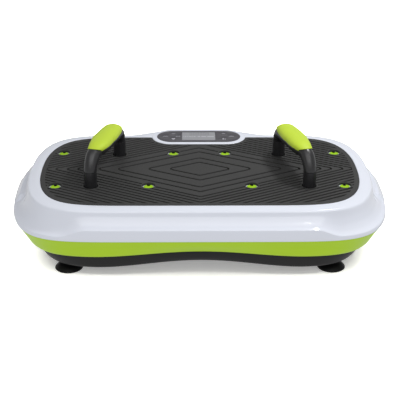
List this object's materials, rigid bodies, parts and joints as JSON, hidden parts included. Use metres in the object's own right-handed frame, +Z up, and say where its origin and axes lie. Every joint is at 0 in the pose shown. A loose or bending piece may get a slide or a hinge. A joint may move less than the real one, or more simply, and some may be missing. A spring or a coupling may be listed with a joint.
{
  "type": "vibration plate",
  "caption": "Rocking vibration plate: a ribbed standing deck with push-up handles and a console on a see-saw base driven by a belt, crankshaft and links.",
  "frame": {"origin": "on the floor under the middle of the deck", "axes": "+X along the long side to the right, +Y to the rear where the console is, +Z up"},
  "size_m": [0.744, 0.44, 0.2306],
  "materials": {
    "white_shell": "moulded gloss white with a faint cool tint",
    "lime_band": "moulded lime green, satin gloss",
    "screw_cap": "moulded lime green, satin gloss",
    "pan_black": "fine-grained black moulding",
    "mat_rubber": "matt dark grey rubber sheet with ribs",
    "foot_rubber": "smooth black rubber",
    "black_moulding": "satin black moulding",
    "lime_grip": "soft-touch lime green pad",
    "overlay_film": "glossy dark grey panel film",
    "key_film": "glossy dark grey key with a light mark",
    "lcd_window": "grey display window",
    "zinc_steel": "zinc-plated sheet steel",
    "dark_steel": "dark painted steel",
    "bright_steel": "ground steel",
    "cast_aluminium": "cast aluminium, machined faces",
    "belt_rubber": "ribbed rubber belt",
    "circuit_board": "green circuit board",
    "lead_red": "red insulation",
    "lead_black": "black insulation"
  },
  "bodies": {
    "base": {"base_pan": "pan_black", "chassis_plate": "zinc_steel", "foot_front_left": "foot_rubber", "foot_front_right": "foot_rubber", "foot_rear_left": "foot_rubber", "foot_rear_right": "foot_rubber", "pivot_bracket_front": "zinc_steel", "pivot_bracket_rear": "zinc_steel", "shaft_bearing_front": "dark_steel", "shaft_bearing_rear": "dark_steel", "drive_belt": "belt_rubber", "motor_housing": "dark_steel", "motor_bracket": "zinc_steel", "power_board": "circuit_board", "power_inlet": "black_moulding", "switch_housing": "black_moulding", "motor_lead": "lead_red", "mains_lead_inner": "lead_black"},
    "crankshaft_set": {"crankshaft": "bright_steel", "driven_pulley": "cast_aluminium", "eccentric_front": "bright_steel", "eccentric_rear": "bright_steel"},
    "motor_rotor": {"motor_shaft": "bright_steel", "motor_pulley": "cast_aluminium"},
    "platform": {"top_shell": "white_shell", "accent_band": "lime_band", "rubber_mat": "mat_rubber", "rocker_frame": "zinc_steel", "pivot_shaft": "bright_steel", "link_pin_front": "bright_steel", "link_pin_rear": "bright_steel", "screw_cap_front_outer_left": "screw_cap", "screw_cap_front_inner_left": "screw_cap", "screw_cap_front_inner_right": "screw_cap", "screw_cap_front_outer_right": "screw_cap", "screw_cap_rear_outer_left": "screw_cap", "screw_cap_rear_inner_left": "screw_cap", "screw_cap_rear_inner_right": "screw_cap", "screw_cap_rear_outer_right": "screw_cap", "handle_socket_front_left": "black_moulding", "handle_socket_front_right": "black_moulding", "handle_socket_rear_left": "black_moulding", "handle_socket_rear_right": "black_moulding", "console_board": "circuit_board", "lcd_module": "lcd_window", "console_overlay": "overlay_film"},
    "rocker_links": {"rocker_link_front": "cast_aluminium", "rocker_link_rear": "cast_aluminium"},
    "handle_left": {"handle_tube_left": "black_moulding", "handle_grip_left": "lime_grip"},
    "handle_right": {"handle_tube_right": "black_moulding", "handle_grip_right": "lime_grip"},
    "power_switch": {"power_rocker": "black_moulding"},
    "key_speed_up_cap": {"key_speed_up": "key_film"},
    "key_speed_down_cap": {"key_speed_down": "key_film"},
    "key_program_cap": {"key_program": "key_film"},
    "key_power_cap": {"key_power": "key_film"},
    "key_mode_cap": {"key_mode": "key_film"},
    "key_time_cap": {"key_time": "key_film"},
    "key_timer_hold_cap": {"key_timer_hold": "key_film"}
  },
  "joints": [
    {"name": "platform_rock", "type": "hinge", "parent": "base", "child": "platform", "pos_m": [0, 0, 0.084], "axis": [0, 1, 0], "range_deg": [-1.2, 1.2]},
    {"name": "crank_spin", "type": "hinge", "parent": "base", "child": "crankshaft_set", "pos_m": [0.15, 0, 0.078], "axis": [0, 1, 0], "continuous": true},
    {"name": "motor_spin", "type": "hinge", "parent": "base", "child": "motor_rotor", "pos_m": [0.245, 0, 0.08], "axis": [0, 1, 0], "continuous": true},
    {"name": "links_upright", "type": "hinge", "parent": "platform", "child": "rocker_links", "pos_m": [0.1531, 0, 0.112], "axis": [0, 1, 0], "range_deg": [-1.5, 1.5]},
    {"name": "handle_left_lift", "type": "slide", "parent": "platform", "child": "handle_left", "axis": [0, 0, 1], "range_m": [0, 0.05]},
    {"name": "handle_right_lift", "type": "slide", "parent": "platform", "child": "handle_right", "axis": [0, 0, 1], "range_m": [0, 0.05]},
    {"name": "power_switch_tilt", "type": "hinge", "parent": "base", "child": "power_switch", "pos_m": [-0.155, 0.1875, 0.036], "axis": [0, 0, 1], "range_deg": [-16, 0]},
    {"name": "key_speed_up_press", "type": "slide", "parent": "platform", "child": "key_speed_up_cap", "axis": [0, 0, -1], "range_m": [0, 0.0006], "stiffness_N_per_m": 500, "springref_m": -0.001},
    {"name": "key_speed_down_press", "type": "slide", "parent": "platform", "child": "key_speed_down_cap", "axis": [0, 0, -1], "range_m": [0, 0.0006], "stiffness_N_per_m": 500, "springref_m": -0.001},
    {"name": "key_program_press", "type": "slide", "parent": "platform", "child": "key_program_cap", "axis": [0, 0, -1], "range_m": [0, 0.0006], "stiffness_N_per_m": 500, "springref_m": -0.001},
    {"name": "key_power_press", "type": "slide", "parent": "platform", "child": "key_power_cap", "axis": [0, 0, -1], "range_m": [0, 0.0006], "stiffness_N_per_m": 500, "springref_m": -0.001},
    {"name": "key_mode_press", "type": "slide", "parent": "platform", "child": "key_mode_cap", "axis": [0, 0, -1], "range_m": [0, 0.0006], "stiffness_N_per_m": 500, "springref_m": -0.001},
    {"name": "key_time_press", "type": "slide", "parent": "platform", "child": "key_time_cap", "axis": [0, 0, -1], "range_m": [0, 0.0006], "stiffness_N_per_m": 500, "springref_m": -0.001},
    {"name": "key_timer_hold_press", "type": "slide", "parent": "platform", "child": "key_timer_hold_cap", "axis": [0, 0, -1], "range_m": [0, 0.0006], "stiffness_N_per_m": 500, "springref_m": -0.001}
  ],
  "couplings": [
    {"joint": "motor_spin", "follows": "crank_spin", "ratio": 2.7},
    {"joint": "links_upright", "follows": "platform_rock", "ratio": -1}
  ]
}
